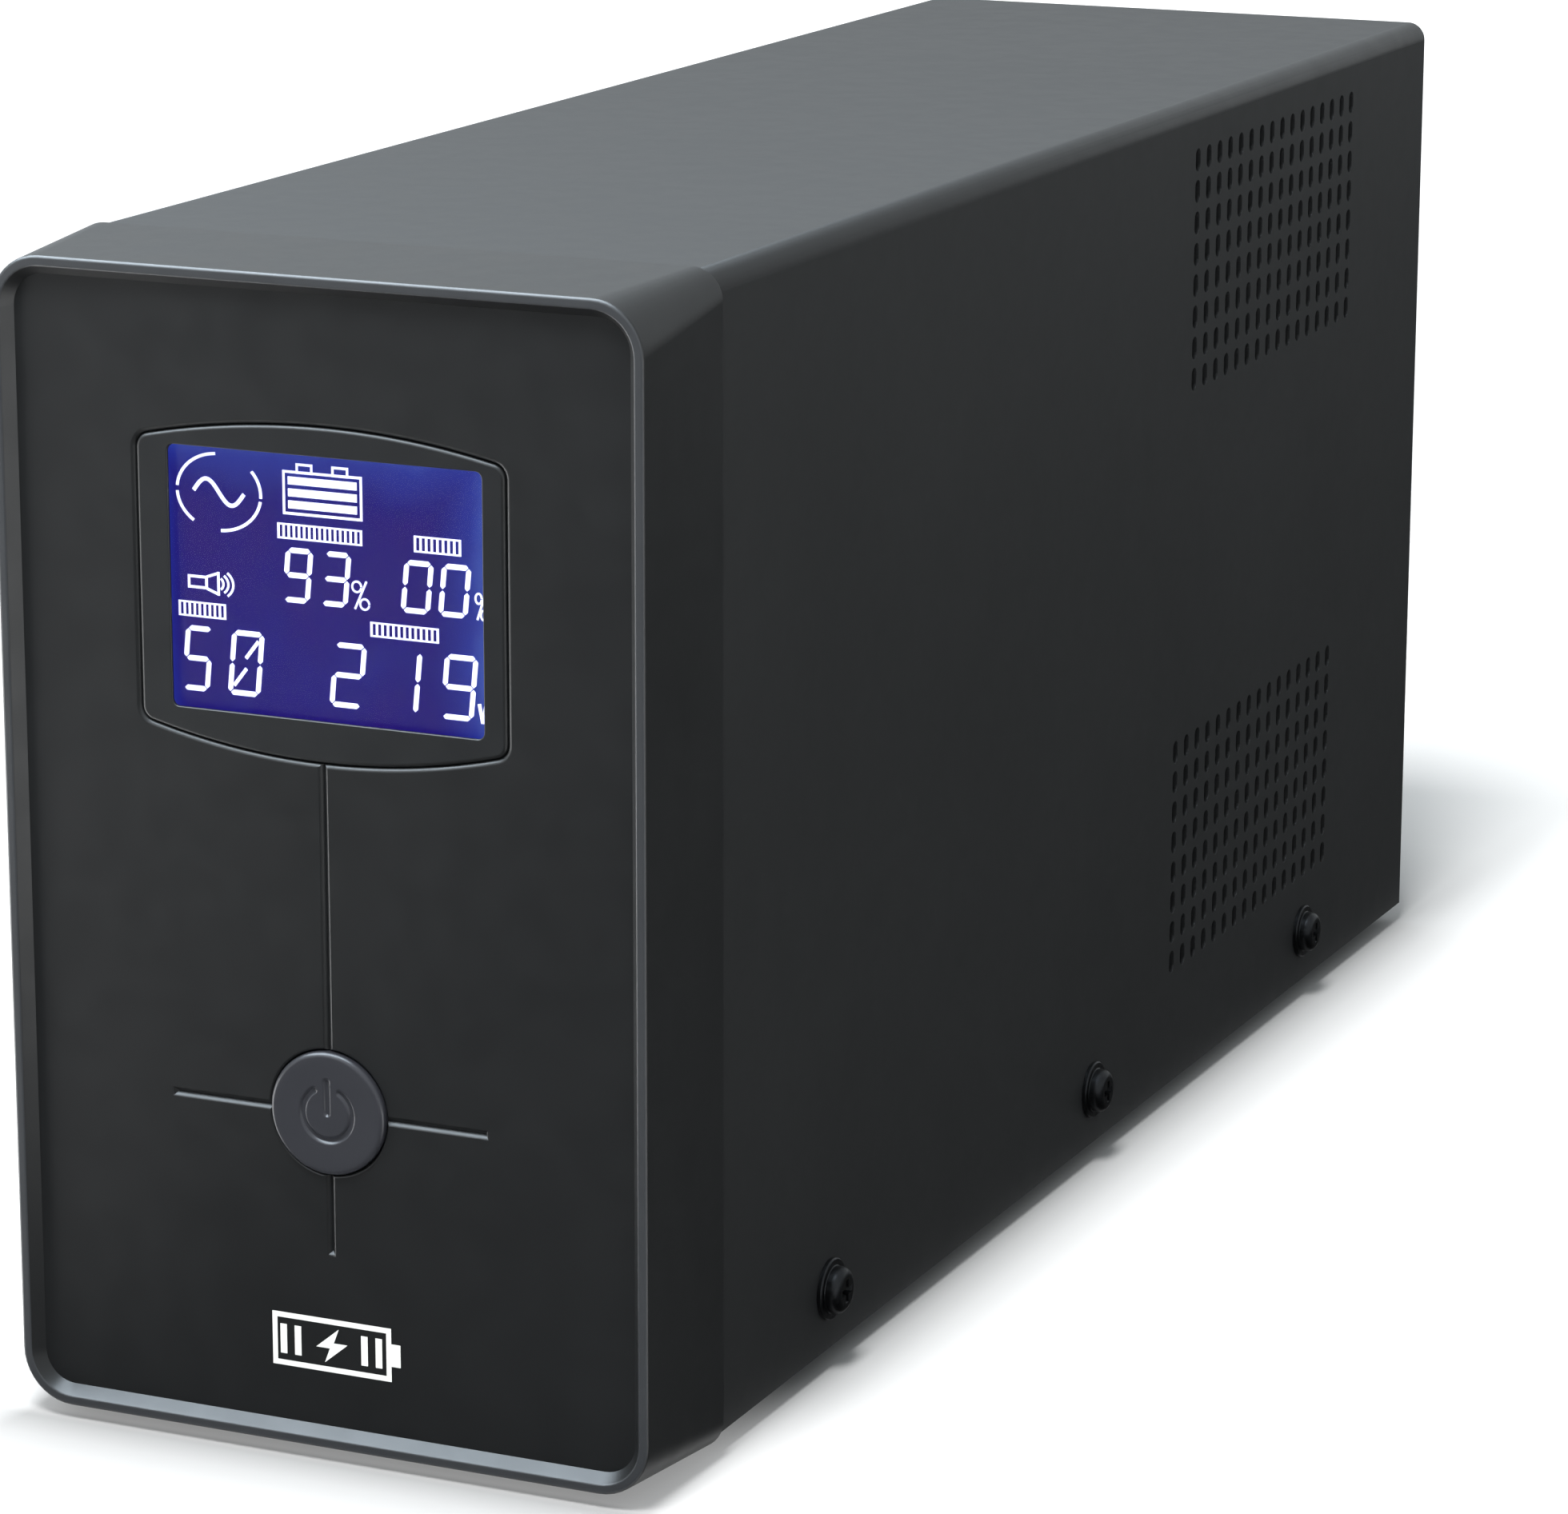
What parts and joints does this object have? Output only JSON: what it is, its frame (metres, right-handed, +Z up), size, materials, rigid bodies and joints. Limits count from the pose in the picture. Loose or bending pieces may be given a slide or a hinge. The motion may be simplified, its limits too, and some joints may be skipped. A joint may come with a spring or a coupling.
{
  "type": "uninterruptible power supply",
  "caption": "Narrow tower uninterruptible power supply with a vented steel case, a plastic front with a blue display and a round power button, and mains outlets on the back.",
  "frame": {"origin": "on the floor under the middle of the whole object", "axes": "+X to the right seen from the front, front faces -Y, +Z up"},
  "size_m": [0.1002, 0.327, 0.1639],
  "materials": {
    "bezel_plastic": "satin",
    "frame_plastic": "satin",
    "display_lens": "polished",
    "lcd_blue": "gloss",
    "backlight": "satin",
    "inner_plastic": "matte",
    "circuit_board": "satin",
    "button_plastic": "satin",
    "plunger_plastic": "satin",
    "ribbon": "satin",
    "case_steel": "satin",
    "black_screw": "satin",
    "zinc_screw": "satin",
    "foot_rubber": "matte",
    "battery_plastic": "satin",
    "battery_lid": "satin",
    "terminal_tin": "satin",
    "sleeve_red": "satin",
    "lead_red": "satin",
    "lead_black": "satin",
    "strap_steel": "satin",
    "core_steel": "matte",
    "bobbin_plastic": "matte",
    "copper_winding": "satin",
    "lead_white": "satin",
    "brass_hardware": "satin",
    "heatsink_aluminium": "satin",
    "package_black": "matte",
    "relay_plastic": "satin",
    "capacitor_sleeve": "satin",
    "film_capacitor": "satin",
    "choke_copper": "satin",
    "connector_black": "satin",
    "pin_nickel": "polished",
    "reset_white": "satin",
    "port_shell": "polished"
  },
  "bodies": {
    "ups_body": {"top_cover": "case_steel", "base_pan": "case_steel", "rear_panel": "case_steel", "cover_screws": "black_screw", "rear_screws": "zinc_screw", "foot_front_left": "foot_rubber", "foot_front_right": "foot_rubber", "foot_rear_left": "foot_rubber", "foot_rear_right": "foot_rubber", "front_bezel": "bezel_plastic", "bezel_screws": "zinc_screw", "display_frame": "frame_plastic", "display_lens": "display_lens", "lcd_panel": "lcd_blue", "lcd_backlight": "backlight", "lcd_housing": "inner_plastic", "display_board": "circuit_board", "power_switch": "inner_plastic", "ribbon_cable": "ribbon", "battery_case": "battery_plastic", "battery_lid": "battery_lid", "battery_terminals": "terminal_tin", "battery_strap": "strap_steel", "battery_connectors": "sleeve_red", "battery_lead_red": "lead_red", "battery_lead_black": "lead_black", "transformer_core": "core_steel", "transformer_bobbin": "bobbin_plastic", "transformer_winding": "copper_winding", "transformer_bracket": "strap_steel", "transformer_leads": "lead_white", "chassis_screws": "brass_hardware", "board_bracket": "strap_steel", "board_standoffs": "brass_hardware", "main_board": "circuit_board", "heatsink_left": "heatsink_aluminium", "heatsink_right": "heatsink_aluminium", "power_transistors": "package_black", "relays": "relay_plastic", "electrolytic_capacitors": "capacitor_sleeve", "film_capacitors": "film_capacitor", "choke": "choke_copper", "controller_chip": "package_black", "buzzer": "package_black", "inlet_body": "connector_black", "inlet_pins": "pin_nickel", "inlet_screws": "zinc_screw", "breaker_body": "connector_black", "breaker_nut": "terminal_tin", "outlet_1": "connector_black", "outlet_2": "connector_black", "outlet_3": "connector_black", "outlet_4": "connector_black", "outlet_contacts": "brass_hardware", "usb_port": "port_shell", "surge_jack_in": "connector_black", "surge_jack_out": "connector_black"},
    "power_button": {"power_button": "button_plastic", "switch_plunger": "plunger_plastic"},
    "breaker_button": {"breaker_button": "reset_white"}
  },
  "joints": [
    {"name": "power_button_press", "type": "slide", "parent": "ups_body", "child": "power_button", "axis": [0, 1, 0], "range_m": [0, 0.0015], "stiffness_N_per_m": 1500, "springref_m": -0.0008},
    {"name": "breaker_reset", "type": "slide", "parent": "ups_body", "child": "breaker_button", "axis": [0, 1, 0], "range_m": [0, 0.003]}
  ]
}
